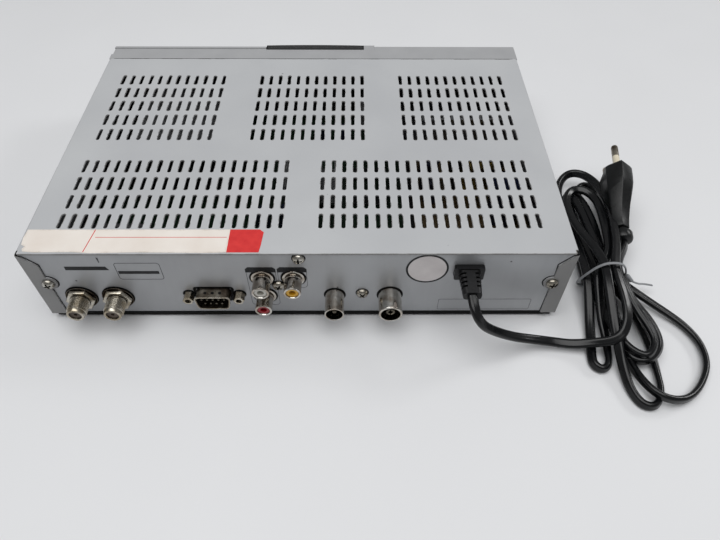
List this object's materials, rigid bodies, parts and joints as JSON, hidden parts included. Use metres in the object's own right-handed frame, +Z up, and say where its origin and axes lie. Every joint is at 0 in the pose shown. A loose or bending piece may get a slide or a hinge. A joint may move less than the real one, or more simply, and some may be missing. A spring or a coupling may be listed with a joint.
{
  "type": "satellite television receiver",
  "caption": "Slim set-top receiver with a slotted steel cover, rear signal sockets, a hinged front flap, push buttons and a tied mains lead with a two-pin plug.",
  "frame": {"origin": "on the surface the feet stand on, under the middle of the case (without the loose cord)", "axes": "+Z up, +Y towards the rear sockets, -Y is the front, +X is the side of the two F sockets"},
  "size_m": [0.3347, 0.24, 0.05],
  "materials": {
    "cover_paint": "satin, light silver-grey",
    "chassis_zinc": "dull zinc plate",
    "nickel": "nickel plate, slightly tarnished",
    "screw_steel": "zinc plate",
    "tin_can": "tin plate",
    "gold_contact": "gold flash",
    "black_insert": "moulded",
    "white_insert": "moulded",
    "red_insert": "moulded",
    "yellow_insert": "moulded",
    "fascia_silver": "silver lacquer",
    "button_grey": "satin",
    "dark_lens": "polished",
    "light_green": "clear tinted",
    "display_glass": "glass envelope",
    "foot_rubber": "matt",
    "cord_pvc": "satin PVC",
    "pin_sleeve": "cream",
    "tie_grey": "plastic-coated wire",
    "board_green": "solder mask",
    "board_tan": "paper laminate",
    "chip_black": "moulded",
    "capacitor_sleeve": "shrink sleeve",
    "sink_aluminium": "extruded",
    "ferrite": "matt",
    "winding_tape": "polyester tape",
    "frame_plastic": "moulded",
    "ribbon_grey": "flat cable",
    "wire_brown": "wire insulation"
  },
  "bodies": {
    "receiver": {"aerial_contacts": "nickel", "aerial_in_shell": "nickel", "aerial_insulators": "white_insert", "aerial_out_shell": "nickel", "board_screws": "screw_steel", "board_standoffs": "screw_steel", "capacitors": "capacitor_sleeve", "card_bay_cage": "tin_can", "card_bay_frame": "frame_plastic", "chassis_tray": "chassis_zinc", "circuit_chips": "chip_black", "decoder_heat_sink": "sink_aluminium", "display_lens": "dark_lens", "display_module": "display_glass", "front_board": "board_tan", "front_fascia": "fascia_silver", "line_choke": "ferrite", "lnb_insulators": "white_insert", "lnb_nuts": "nickel", "lnb_sockets": "nickel", "lnb_washers": "nickel", "main_board": "board_green", "mains_fuse": "nickel", "mains_hank": "cord_pvc", "mains_lead": "cord_pvc", "mains_wires": "wire_brown", "modulator_can": "tin_can", "panel_screws": "screw_steel", "phono_barrels": "nickel", "phono_block": "black_insert", "phono_insulator_red": "red_insert", "phono_insulator_white": "white_insert", "phono_insulator_yellow": "yellow_insert", "plug_body": "cord_pvc", "plug_lead": "cord_pvc", "plug_pins": "nickel", "plug_sleeves": "pin_sleeve", "power_board": "board_tan", "power_heat_sink": "sink_aluminium", "power_transistor": "chip_black", "ribbon_cable": "ribbon_grey", "rubber_feet": "foot_rubber", "serial_insert": "black_insert", "serial_jackscrews": "nickel", "serial_pins": "gold_contact", "serial_shell": "nickel", "standby_light": "light_green", "strain_relief": "cord_pvc", "tact_switches": "chip_black", "top_cover": "cover_paint", "transformer_core": "ferrite", "transformer_winding": "winding_tape", "tuner_can": "tin_can", "twist_tie": "tie_grey"},
    "flap_door": {"flap_door": "fascia_silver"},
    "standby_button": {"standby_button": "button_grey"},
    "channel_down_button": {"channel_down_button": "button_grey"},
    "channel_up_button": {"channel_up_button": "button_grey"},
    "upper_ejector": {"upper_ejector": "button_grey"},
    "lower_ejector": {"lower_ejector": "button_grey"}
  },
  "joints": [
    {"name": "door_hinge", "type": "hinge", "parent": "receiver", "child": "flap_door", "pos_m": [0.08, -0.0959, 0.011], "axis": [1, 0, 0], "range_deg": [0, 90]},
    {"name": "standby_press", "type": "slide", "parent": "receiver", "child": "standby_button", "axis": [0, 1, 0], "range_m": [0, 0.0008], "stiffness_N_per_m": 600},
    {"name": "channel_down_press", "type": "slide", "parent": "receiver", "child": "channel_down_button", "axis": [0, 1, 0], "range_m": [0, 0.0008], "stiffness_N_per_m": 600},
    {"name": "channel_up_press", "type": "slide", "parent": "receiver", "child": "channel_up_button", "axis": [0, 1, 0], "range_m": [0, 0.0008], "stiffness_N_per_m": 600},
    {"name": "upper_ejector_slide", "type": "slide", "parent": "receiver", "child": "upper_ejector", "axis": [0, -1, 0], "range_m": [0, 0.004]},
    {"name": "lower_ejector_slide", "type": "slide", "parent": "receiver", "child": "lower_ejector", "axis": [0, -1, 0], "range_m": [0, 0.004]}
  ]
}
